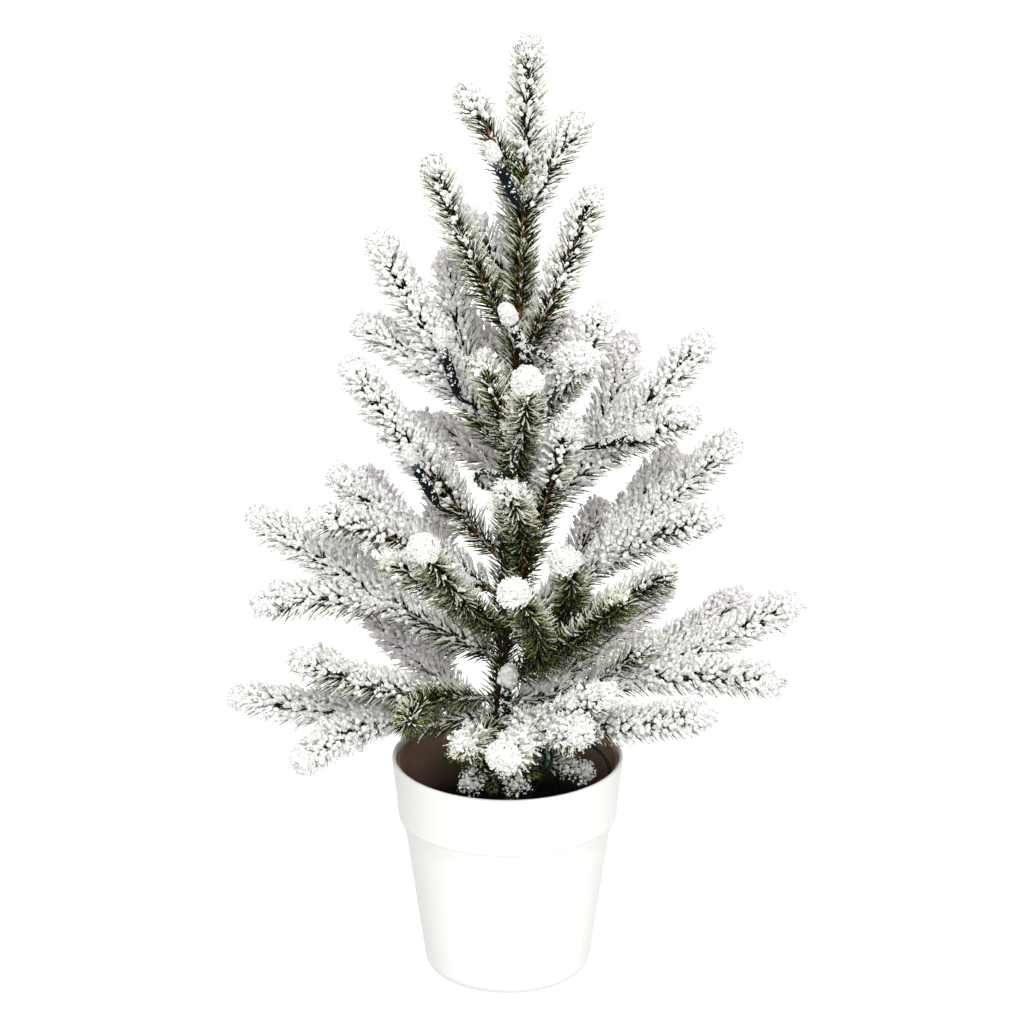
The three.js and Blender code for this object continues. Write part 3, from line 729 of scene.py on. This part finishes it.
class Flocking:
    """Gathers grains of flock, each with how thin it lies, and makes them one piece."""

    def __init__(self):
        self.grains, self.thin = [], []

    def add(self, shapes, axes, sizes, places, thin):
        for k, shape in enumerate(shapes):
            pick = slice(k, None, len(shapes))
            if len(places[pick]):
                self.grains.append(stamped(shape, axes[pick], sizes[pick], places[pick]))
                self.thin.append(np.repeat(thin[pick], len(shape[0])))

    def finish(self, name, body):
        made = piece(name, *joined(self.grains), FLOCK, body, "foliage")
        set_values(made, "thin", np.concatenate(self.thin))


def axes_along(directions):
    """Rows side, up, along for each direction."""
    side = unit(np.cross(directions, [0.31, 0.2, 0.93]))
    return np.stack([side, np.cross(directions, side), directions], 1)


def blown_side(along):
    """For directions of needles, the way across each one that the flock settles on."""
    return SNOW_FROM - along * (along @ SNOW_FROM)[:, None]


def sprig_end(line):
    """The centre of the dome at a sprig's end, with its direction, side and third direction."""
    return (row[0] for row in line.sample(np.array([line.length - CAP_BACK])))


class Needles:
    """The needles of one sprig in a spiral round its line: arrays with one row per needle."""

    def __init__(self, line, start, size):
        span = line.length - start - TIP_MARGIN
        count = int(span * NEEDLES_PER_METRE)
        share = (np.arange(count) + rng.random(count) * 0.8) / count
        share = np.append(share, 1 - 0.08 * rng.random(TIP_NEEDLES))
        count += TIP_NEEDLES
        centre, along, side, third = line.sample(start + share * span)
        turn = np.arange(count) * GOLDEN_ANGLE + rng.normal(0, 0.12, count)
        self.at = share * span
        self.out = around(turn, side, third)
        self.near_end = 1 - smoothstep(0.0, 0.018, (1 - share) * span)
        lean = 50 - 4 * share - 12 * self.near_end + rng.normal(0, 6, count)
        lean[-TIP_NEEDLES:] = 42 * np.sqrt(rng.random(TIP_NEEDLES))
        lean = np.radians(lean)[:, None]
        self.axis = np.cos(lean) * along + np.sin(lean) * self.out
        up = unit(along - self.axis * np.sum(along * self.axis, 1, keepdims=True))
        self.axes = np.stack([np.cross(up, self.axis), up, self.axis], 1)
        grow = 0.72 + 0.28 * smoothstep(0, 0.14, share) - 0.38 * self.near_end
        self.reach = NEEDLE_LENGTH * size * grow * rng.uniform(0.86, 1.08, count)
        self.width = NEEDLE_WIDTH * rng.uniform(0.85, 1.15, count)
        self.foot = centre + self.out * STEM_R * 0.6

    def catch(self, level):
        """How much flock each needle caught: by its side, its place on the tree, and by chance."""
        facing = self.out @ SNOW_FROM
        under = np.minimum(facing + 0.15, 0) * (1 - self.near_end)
        amount = level + 0.50 * facing + 0.60 * under + 0.16 * self.near_end
        amount += 0.14 * patches(self.foot) - 0.60 * shelter(self.foot)
        self.amount = np.clip(amount + rng.normal(0, 0.17, len(amount)), 0, 1)

    def open_at(self, distance):
        """Takes the front needles away at a distance, where one or two fell out."""
        ahead = self.at - distance
        in_front = self.out @ unit(np.array([0, -0.94, 0.35])) > 0.15
        kept = ~(in_front & (ahead > OPEN_SPOT[0]) & (ahead < OPEN_SPOT[1]))
        for row in ("axis", "axes", "foot", "width", "reach", "amount"):
            setattr(self, row, getattr(self, row)[kept])


class Foliage:
    """Gathers the stems, needles and flock of one branch, then makes its three pieces."""

    def __init__(self, name):
        self.name = name
        self.stems, self.needles, self.frost, self.flock = [], [], [], Flocking()

    def sprig(self, line, start, level, size=1.0, bare=None):
        """Stem, needles and flock round a line; bare is the share it has an open spot at."""
        stem_end = np.searchsorted(line.at, line.length - STEM_SHORT)
        self.stems.append(tube(line.points[:stem_end], lambda s: STEM_R * (1.25 - 0.55 * s), 8, 24))
        needles = Needles(line, start, size)
        needles.catch(level)
        if bare is not None:
            needles.open_at(bare * (line.length - start - TIP_MARGIN))
        sizes = np.stack([needles.width, needles.width, needles.reach], 1)
        self.needles.append(stamped(NEEDLE_SHAPE, needles.axes, sizes, needles.foot))
        outer = smoothstep(0.20, 0.85, NEEDLE_SHAPE[0][:, 2])
        self.frost.append((needles.amount[:, None] * outer).ravel())
        lumpy = float(smoothstep(0.50, 0.85, level))
        self.coat(needles, lumpy)
        self.blow(needles, lumpy)
        self.fuzz(needles)

    def coat(self, needles, lumpy):
        """Flock along the needles: slim sleeves, and lumpy ones on those that caught much."""
        amount = needles.amount
        scant = SCANT * (1 - lumpy)
        thick = amount > LUMPY_FROM + scant + rng.uniform(0, 0.30, len(amount))
        slim = ~thick & (amount > SLIM_FROM - scant + rng.uniform(0, 0.30, len(amount)))
        for shapes, chosen, least, more in ((SLIM_COATS, slim, 0.00032, 0.00024),
                                            (LUMPY_COATS, thick, 0.00032, 0.00068)):
            pick = np.nonzero(chosen)[0]
            size = (least + more * amount[pick][:, None]) * rng.uniform(0.8, 1.2, (len(pick), 1))
            length = needles.reach[pick][:, None] * rng.uniform(0.90, 1.03, (len(pick), 1))
            place = needles.foot[pick] + blown_side(needles.axis[pick]) * 0.00040
            thin = np.clip(1.15 - 1.1 * amount[pick] + scant - 0.20 * lumpy, 0, 1)
            sizes = np.concatenate([size, size, length], 1)
            self.flock.add(shapes, needles.axes[pick], sizes, place, thin)

    def blow(self, needles, lumpy):
        """Clumps of flock crumbs on the outer part of the needles, where it is thick."""
        amount = needles.amount
        for order in range(CRUMBS_PER_NEEDLE):
            need = CRUMBS_FROM + 0.11 * order + 0.08 * (1 - lumpy)
            pick = np.nonzero(amount > need + rng.uniform(0, 0.10, len(amount)))[0]
            along = needles.axis[pick]
            spot = 0.60 + 0.40 * rng.random((len(pick), 1)) - 0.04 * order
            place = needles.foot[pick] + along * spot * needles.reach[pick][:, None]
            place = place + blown_side(along) * 0.0006 + rng.normal(0, 0.00055, place.shape)
            kept = clumps(place) > 0.95 - 1.7 * amount[pick]
            pick, along, place = pick[kept], along[kept], place[kept]
            size = 0.00125 * (0.50 + 0.65 * amount[pick][:, None])
            size = size * rng.uniform(0.60, 1.30, (len(pick), 1))
            axis = unit(along + rng.normal(0, 0.6, along.shape))
            sizes = size * rng.uniform(0.8, 1.35, (len(pick), 3))
            thin = np.clip(0.6 - 0.8 * amount[pick], 0, 1)
            self.flock.add(CRUMBS, axes_along(axis), sizes, place, thin)

    def fuzz(self, needles):
        """A fine crumb or two of flock on the very end of most flocked needles."""
        for far in (1.0, 1.07):
            pick = np.nonzero(needles.amount > rng.uniform(0.25, 0.75, len(needles.amount)))[0]
            along = needles.axis[pick]
            place = needles.foot[pick] + along * needles.reach[pick][:, None] * far
            place = place + rng.normal(0, 0.00045, place.shape)
            sizes = rng.uniform(0.00028, 0.00062, (len(pick), 3))
            thin = np.clip(0.9 - needles.amount[pick], 0, 1)
            self.flock.add(CRUMBS, axes_along(along), sizes, place, thin)

    def cap(self, line, level):
        """Lumps and crumbs among the needles that dome over a sprig's end."""
        level = max(level, 0)
        for shapes, most, radius, depth in CAP_LAYERS:
            self.scatter(line, shapes, int(most * level ** 1.4), radius, depth, 0.35 - level, -0.7,
                         spread=0.34, trail=2.4)

    def snowball(self, line, shift):
        """Packed flock on a sprig's end: merged balls of several sizes, with crumbs all over them."""
        end, along = list(sprig_end(line))[:2]
        level_side = unit(np.cross(SNOW_FROM, along))
        lift = SNOW_FROM * 0.0026 + (shift[0], 0, shift[1])
        for across, ahead, rise, radius in SNOWBALL_PARTS:
            off_centre = level_side * across + along * ahead + SNOW_FROM * rise
            middle = end + lift + SNOWBALL_R * off_centre
            shape = BALLS[rng.integers(len(BALLS))]
            sizes = SNOWBALL_R * radius * rng.uniform(0.86, 1.06, (1, 3))
            self.flock.add([shape], axes_along(along[None]), sizes, middle[None], np.full(1, 0.12))
        for shapes, count, radius, depth, need in SNOWBALL_LAYERS:
            self.scatter(line, shapes, count, radius, SNOWBALL_R * depth, need, -1, lift)

    def scatter(self, line, shapes, count, radius, depth, need, lowest, lift=0, spread=0.10, trail=0):
        """Grains at a depth round a sprig's end, where they face the blow more than needed.

        They reach from straight ahead, 1, to lowest, -1 being straight behind; spread is how
        unevenly deep they lie, and trail draws those behind out along the sprig.
        """
        end, along, side, third = sprig_end(line)
        height = rng.uniform(lowest, 1.0, count)
        turn = np.arange(count) * GOLDEN_ANGLE
        ring = np.sqrt(1 - height ** 2)
        way = ring[:, None] * around(turn, side, third) + height[:, None] * along
        behind = np.minimum(height, 0)[:, None] * along * trail
        place = end + (way + behind) * depth * rng.uniform(1 - spread, 1.06, (count, 1)) + lift
        keep = way @ SNOW_FROM + rng.normal(0, 0.25, count) > need
        place, way = place[keep], way[keep]
        sizes = radius * rng.uniform(0.60, 1.30, (len(place), 1))
        sizes = sizes * rng.uniform(0.85, 1.2, (len(place), 3))
        self.flock.add(shapes, axes_along(way), sizes, place, np.full(len(place), 0.1))

    def finish(self, body, stands_for):
        if self.stems:
            piece(f"{self.name}_stems", *joined(self.stems), STEM, body, "foliage")
        needles = piece(f"{self.name}_needles", *joined(self.needles), NEEDLE, body, "foliage",
                        stands_for)
        frost = np.concatenate(self.frost)
        set_values(needles, "frost", frost)
        # how far along its needle each point lies; the needle paint uses it to darken the foot as painted shade
        set_values(needles, "reach", np.resize(NEEDLE_SHAPE[0][:, 2], len(frost)))
        if self.flock.grains:
            self.flock.finish(f"{self.name}_flock", body)


def trunk_point(height):
    share = (height - TRUNK_FOOT[2]) / (TRUNK_TOP[2] - TRUNK_FOOT[2])
    return TRUNK_FOOT + (TRUNK_TOP - TRUNK_FOOT) * share


def make_branch(name, dip, tips, root):
    """A branch of a main stem and side sprigs, from its bending point."""
    foliage = Foliage(name)
    ends = [np.array(tip[:3]) / 1000 for tip in tips]
    levels = [tip[3] for tip in tips]
    bend = (root + ends[0]) / 2 - (0, 0, dip / 1000)
    sprigs = [Line(bezier(root, bend, ends[0]))]
    foliage.sprig(sprigs[0], BARE_START, levels[0], bare=OPEN_SPOTS.get((name, 0)))
    for order, end in enumerate(ends[1:], 1):
        share = tips[order][4]
        start = (1 - share) ** 2 * root + 2 * share * (1 - share) * bend + share ** 2 * ends[0]
        heading = unit((1 - share) * (bend - root) + share * (ends[0] - bend))
        reach = np.linalg.norm(end - start)
        middle = start + heading * 0.22 * reach + (end - start) * 0.28
        sprigs.append(Line(bezier(start, middle, end)))
        foliage.sprig(sprigs[order], SIDE_START, levels[order], bare=OPEN_SPOTS.get((name, order)))
    for order, (line, level) in enumerate(zip(sprigs, levels)):
        if (name, order) in SNOWBALLS:
            foliage.snowball(line, SNOWBALLS[name, order])
        else:
            foliage.cap(line, level)
    foliage.finish(name, [name])


def make_trunk_needles():
    """Needles straight on the trunk, between the branches."""
    foliage = Foliage("trunk")
    line = Line(trunk_point(0.150) + (trunk_point(0.424) - trunk_point(0.150))
                * np.linspace(0, 1, 60)[:, None])
    foliage.sprig(line, 0, 0.62)
    foliage.stems.clear()
    foliage.finish("root", [])


def make_low_twigs():
    """Short twigs inside the pot's front rim, some ending in flock and some bare."""
    foliage = Foliage("low_twigs")
    for height, tip, level in LOW_TWIGS:
        start, end = trunk_point(height), np.array(tip)
        line = Line(bezier(start, (start + end) / 2 + (0, 0, 0.006), end))
        foliage.sprig(line, SIDE_START, level, 0.62)
        foliage.cap(line, level)
    foliage.finish("root", [])


make_trunk_needles()
make_low_twigs()
ROOTS = {j["child"]: np.array(j["pos_m"]) for j in frame["joints"] if j["type"] == "hinge"}
for branch_name, (branch_dip, branch_tips) in BRANCHES.items():
    make_branch(branch_name, branch_dip, branch_tips, ROOTS[branch_name])

# ---------------------------------------------------------------- pot, liner, weight, trunk


def arc(centre, radius, start, end, count=6):
    """Points of an arc in (radius, height); angles in degrees."""
    turn = np.radians(np.linspace(start, end, count))
    return [(centre[0] + radius * math.cos(a), centre[1] + radius * math.sin(a)) for a in turn]


def wall(height):
    """The outside radius of the pot's body at a height."""
    return POT_FOOT_R + POT_TAPER * height


def make_pot():
    lip, _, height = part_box("pot")[1]
    profile = [
        (0, 0.0012), (0.030, 0.0012), (0.036, 0.0006), (0.0395, 0), (0.0425, 0),
        *arc((wall(0.009) - 0.009, 0.0092), 0.009, -78, -6, 9),
        (wall(0.030), 0.030), (wall(0.060), 0.060), (wall(0.085), 0.085),
        (wall(STEP_FROM - 0.001), STEP_FROM - 0.001), (wall(STEP_FROM) + 0.0003, STEP_FROM + 0.001),
        (BAND_R[0] - 0.0010, BAND_FROM - 0.0012), (BAND_R[0] - 0.0008, BAND_FROM - 0.0004),
        *arc((BAND_R[0] - 0.0008, BAND_FROM + 0.0008), 0.0008, -60, 0),
        (BAND_R[0] + 0.0009, BAND_FROM + 0.012), (lip - 0.0006, height - 0.008),
        *arc((lip - 0.0012, height - 0.0012), 0.0012, 0, 180, 9),
        (lip - 0.0026, height - 0.003), (BAND_R[0] - 0.0018, BAND_FROM + 0.003),
        (wall(BAND_FROM) - 0.0016, BAND_FROM + 0.0005), (wall(0.0045) - 0.0016, 0.0045),
        (POT_FOOT_R - 0.004, 0.003), (0, 0.003),
    ]
    piece("pot_shell", *lathe(profile, POT_SIDES), pot_paint(), "root", "pot", ["pot"])


def make_liner():
    lip, _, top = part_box("pot_liner")[1]
    outer, inner = -0.0019, -0.0031        # of the liner's two faces, from the pot's outside
    profile = [
        (0, 0.0033), (POT_FOOT_R - 0.0042, 0.0033), (wall(0.0052) + outer, 0.0052),
        (wall(BAND_FROM) + outer, BAND_FROM + 0.0011), (BAND_R[0] - 0.0023, BAND_FROM + 0.0038),
        (lip, top - 0.0004), *arc((lip - 0.0006, top - 0.0006), 0.0006, 0, 180),
        (BAND_R[0] - 0.0035, BAND_FROM + 0.0044), (wall(BAND_FROM) + inner, BAND_FROM + 0.0017),
        (wall(0.006) + inner, 0.006), (POT_FOOT_R - 0.005, 0.0045), (0, 0.0045),
    ]
    piece("liner_shell", *lathe(profile, POT_SIDES), liner_paint(), "root", "pot_liner", ["pot_liner"])


ROD_R = 0.00365
TAPE_LIFT = 0.00030


def make_trunk():
    """The rod with tape wound round it: each turn of the tape stands a little over the last."""
    axis = TRUNK_TOP - TRUNK_FOOT
    count, sides, turn_height = 260, 40, 0.009
    line = Line(TRUNK_FOOT + axis * np.linspace(0, 1, count)[:, None])
    verts, faces = tube(line.points, 1.0, sides)
    rings = verts[:-2].reshape(count, sides, 3)
    spokes = rings - line.points[:, None]
    lift = (line.at[:, None] / turn_height + np.arange(sides)[None] / sides) % 1.0
    radius = ROD_R + TAPE_LIFT * lift
    verts[:-2] = (line.points[:, None] + spokes * radius[..., None]).reshape(-1, 3)
    piece("trunk_wrapped", verts, faces, trunk_paint(), "root", "trunk", ["trunk"])


make_pot()
make_liner()
make_trunk()

# ---------------------------------------------------------------- the string's loop


RUN_STEP = 0.0012                # between the points of its wires
RUN_PITCH = 0.016                # one full twist
RUN_APART = 0.0010               # each wire's distance from their common middle
RUN_CRUMBS = 1600


def make_string_run():
    """The loop's two wires, twisted round each other, with flock along their upper side."""
    line = Line(smooth_points(STRING_RUN))
    count = int(line.length / RUN_STEP)
    centre, along, side, third = line.sample(np.linspace(0, line.length, count))
    turn = np.linspace(0, line.length / RUN_PITCH * 2 * np.pi, count)
    spoke = around(turn, side, third)
    for order, sign in enumerate((-1, 1)):
        curve_piece(f"string_run_{order + 1}", centre + sign * RUN_APART * spoke)
    flock = Flocking()
    pick = rng.integers(0, count, RUN_CRUMBS)
    out = unit(rng.normal(0, 1, (len(pick), 3)) + SNOW_FROM * 0.8)
    out = unit(out - along[pick] * np.sum(out * along[pick], 1, keepdims=True))
    slide = along[pick] * rng.uniform(-0.0006, 0.0006, (len(pick), 1))
    place = centre[pick] + out * 0.0019 + slide
    keep = clumps(place) + rng.normal(0, 0.4, len(pick)) > 0.2
    sizes = rng.uniform(0.00025, 0.00075, (keep.sum(), 3))
    flock.add(CRUMBS, axes_along(out[keep]), sizes, place[keep], np.full(keep.sum(), 0.2))
    flock.finish("string_run_flock", "root")


make_string_run()

# ---------------------------------------------------------------- CAD nodes that stay


def dress(names, paint, bevel=0.0, smooth=0):
    """Gives CAD nodes a material and, where it helps, rounded edges or a smoother surface."""
    for name in names:
        node = frame["nodes"][name]
        node.data.materials.clear()
        node.data.materials.append(paint)
        if bevel:
            soft = node.modifiers.new("rounded", "BEVEL")
            soft.width = bevel
            soft.segments = 3
        if smooth:
            finer = node.modifiers.new("finer", "SUBSURF")
            finer.levels = finer.render_levels = smooth


dress(["cement_weight"], cement_paint())
dress(["string_wire"], WIRE, smooth=1)
dress(["battery_case", "battery_cover", "power_switch"], BOX, bevel=0.0005)
dress(["battery_cell_1", "battery_cell_2", "battery_cell_3"], cell_paint())
dress(["contact_springs", "contact_plate"], contact_paint())

# ---------------------------------------------------------------- mini lights


def node_points(name):
    return np.array([v.co for v in frame["nodes"][name].data.vertices])


def light_axis(name):
    """The foot and direction of a light, from its CAD socket and lamp."""
    socket = node_points(f"{name}_socket")
    middle = socket.mean(0)
    direction = unit(node_points(f"{name}_lamp").mean(0) - middle)
    return middle + direction * ((socket - middle) @ direction).min(), direction


def make_light(name, body):
    foot, direction = light_axis(name)
    ribs = [(0.0032 + (0.00018 if k % 2 else 0), 0.007 + 0.0011 * k) for k in range(7)]
    socket = lathe([
        (0, 0.0002), (0.0018, 0.0002), (0.0022, 0.0008), (0.0029, 0.004), (0.0031, 0.0055),
        *ribs, (0.0031, 0.0155), (0.0030, 0.0215), (0.0034, 0.0222), (0.0034, 0.0250),
        (0.0028, 0.0258), (0, 0.0258),
    ], 28)
    husk = joined([stood(socket, foot, direction), *pigtails(foot, direction)])
    piece(f"{name}_husk", *husk, HUSK, body, "light_socket", [f"{name}_socket"])
    lamp = lathe([
        (0, 0.0262), (0.0024, 0.0262), (0.0027, 0.0275), (0.0028, 0.0300), (0.0028, 0.0352),
        (0.0025, 0.0380), (0.0018, 0.0400), (0.0009, 0.0411), (0, 0.0413),
    ], 28)
    piece(f"{name}_bulb", *stood(lamp, foot, direction), LAMP, body, "lamp", [f"{name}_lamp"])
    flock_light(name, body, foot, direction)


def pigtails(foot, direction):
    """The two thin wires that leave a socket's foot and go down to the nearest stem."""
    side = unit(np.cross(direction, [0.2, 1.0, 0.1]))
    trunk = trunk_point(foot[2] - 0.012)
    away = unit((trunk - foot) * (1, 1, 0.4))
    wires = []
    for sign in (-1, 1):
        start = foot + side * sign * 0.0009 + direction * 0.001
        route = [start, start - direction * 0.003, start - direction * 0.006 + away * 0.002,
                 foot - direction * 0.008 + away * 0.007 - side * sign * 0.0007]
        wires.append(tube(smooth_points(route, 5), 0.0006, 8))
    return wires


def flock_light(name, body, foot, direction):
    """Flock on a light: a clump on the lamp's end, and flecks down the side facing the blow."""
    amount = FLOCKED_LIGHTS.get(name, 0.35)
    clump = CLUMP_SCALE.get(name, 1.0)
    side = unit(np.cross(direction, [0.2, 1.0, 0.1]))
    third = np.cross(direction, side)
    flock = Flocking()
    for shapes, low, high, radius, count, size, need in (
            (CRUMBS, 0.004, 0.036, 0.0031, 900, 0.00028, 1.25 - amount),
            (CRUMBS, 0.006, 0.038, 0.0031, 420, 0.00060, 1.30 - amount),
            (LUMPS, 0.0325, 0.0415, 0.0027 * clump, 160, 0.00130 * clump, -0.05 - amount),
            (CRUMBS, 0.0315, 0.0425, 0.0033 * clump, 420, 0.00075 * clump, 0.05 - amount)):
        height = rng.uniform(low, high, count)
        turn = rng.uniform(0, 2 * np.pi, count)
        out = around(turn, side, third)
        taper = 1 - 0.5 * smoothstep(0.037, 0.042, height)
        place = foot + direction * height[:, None] + out * (radius * taper)[:, None]
        keep = out @ SNOW_FROM + 0.5 * clumps(place) + rng.normal(0, 0.3, count) > need
        place, out = place[keep], out[keep]
        sizes = size * rng.uniform(0.6, 1.5, (len(place), 3)) * (0.7 + 0.6 * amount)
        flock.add(shapes, axes_along(out), sizes, place, np.full(len(place), 0.15))
    flock.finish(f"{name}_flock", body)


LIGHT_BODIES = {
    member[:-5]: body
    for body, members in frame["record"]["behaviour"]["bodies"].items()
    for member in members if member.endswith("_lamp")
}
for light_name, light_body in sorted(LIGHT_BODIES.items()):
    make_light(light_name, light_body)

# ---------------------------------------------------------------- floor and light


def make_floor():
    """A pale sweep that shows but throws no light back up; the world does that evenly."""
    bpy.ops.mesh.primitive_plane_add(size=16)
    floor = bpy.context.object
    floor.name = "floor"
    floor.visible_diffuse = False
    p = Paint("floor_white", Roughness=0.9, Specular_IOR_Level=0.1, Emission_Color=(1, 1, 1, 1),
              Emission_Strength=FLOOR_GLOW)
    p.colour(p.ramp(p.noise(3, 2), (0.4, (.40, .40, .40)), (0.6, (.42, .42, .42))))
    floor.data.materials.append(p.material)


def make_soft_sun():
    """A broad soft light from the front and above."""
    data = bpy.data.lights.new("key", "SUN")
    data.angle = math.radians(KEY_ANGLE)
    data.energy = KEY_STRENGTH
    lamp = add_object("key", data)
    lamp.rotation_euler = Vector(KEY_TOWARDS).to_track_quat("-Z", "Y").to_euler()


def make_world():
    """Even white light from all round, stronger from the front and above, weaker from the sides."""
    world = bpy.data.worlds.new("studio")
    world.use_nodes = True
    nodes = Nodes(world.node_tree)
    background = nodes.tree.nodes["Background"]
    background.inputs["Color"].default_value = (1, 1, 1, 1)
    way = nodes.node("ShaderNodeTexCoord").outputs["Generated"]
    towards = nodes.dot(way, WORLD_KEY)
    across = nodes.part(way, "X")
    level = nodes.math("MULTIPLY_ADD", nodes.math("MULTIPLY", across, across), -WORLD_SIDE_DIM, towards)
    nodes.feed(background.inputs["Strength"], nodes.math("ADD", level, WORLD_STRENGTH))
    bpy.context.scene.world = world
    bpy.context.scene.view_settings.view_transform = "Standard"


make_floor()
make_soft_sun()
make_world()
